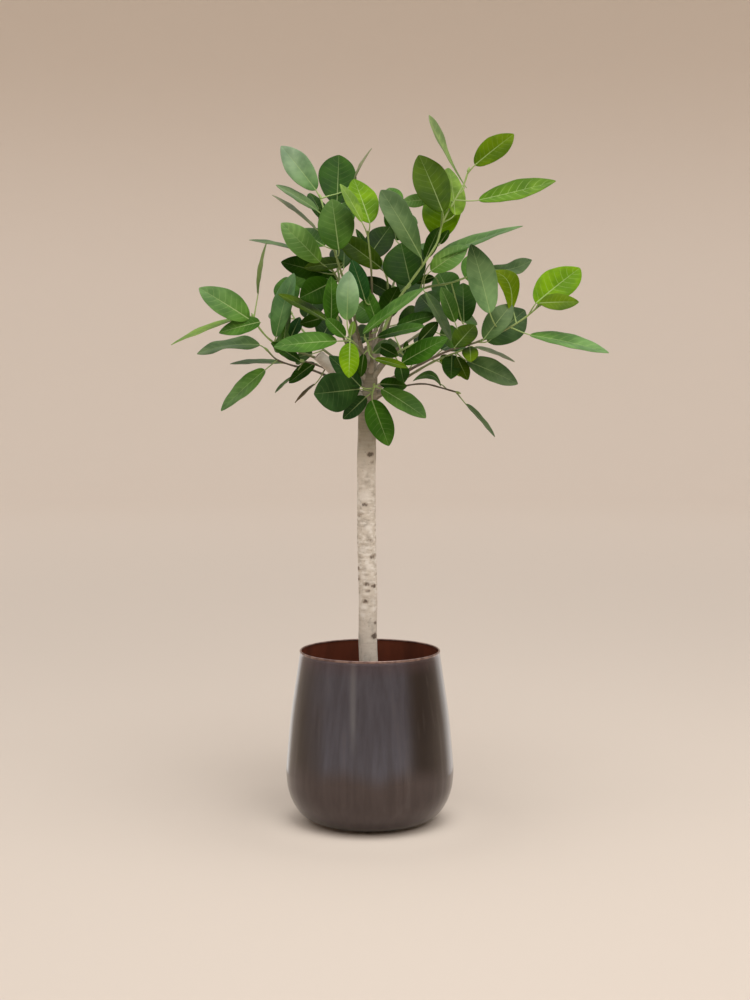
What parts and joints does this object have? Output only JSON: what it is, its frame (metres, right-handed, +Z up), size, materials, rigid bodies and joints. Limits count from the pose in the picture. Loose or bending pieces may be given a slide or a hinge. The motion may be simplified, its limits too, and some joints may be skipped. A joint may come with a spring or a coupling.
{
  "type": "potted bengal fig",
  "caption": "Indoor Bengal fig trained as a small tree: one bare pale trunk with a loose round crown of oval leaves, in a rounded dark metal floor pot.",
  "frame": {"origin": "centre of the pot's flat foot, on the surface it stands on", "axes": "+Z up along the pot's axis; -Y towards the side seen in the picture; +X to its right"},
  "size_m": [0.9315, 0.6206, 1.5222],
  "materials": {
    "pot_metal": "lacquered dark bronze, glossy, red-brown inside",
    "potting_soil": "loose matt peat and bark mix",
    "bark": "pale smooth bark with dark knots",
    "leaf": "leathery green leaf with pale veins, satin"
  },
  "bodies": {
    "root": {"pot": "pot_metal", "soil": "potting_soil", "trunk": "bark", "shoot_upper_left": "leaf", "shoot_top_middle": "leaf", "shoot_top_right": "leaf", "shoot_right_upper": "leaf", "shoot_right": "leaf", "shoot_right_lower": "leaf", "twig_right": "leaf", "shoot_front_low": "leaf", "shoot_left": "leaf", "shoot_left_lower": "leaf", "shoot_front_middle": "leaf", "shoot_left_upper": "leaf", "shoot_left_middle": "leaf", "shoot_heart": "leaf", "shoot_front_upper": "leaf", "shoot_right_middle": "leaf", "twig_left": "leaf", "shoot_back_left_upper": "leaf", "shoot_back_top": "leaf", "shoot_back_right": "leaf", "shoot_back_left": "leaf", "shoot_back_middle": "leaf", "shoot_back_right_lower": "leaf"}
  },
  "joints": []
}
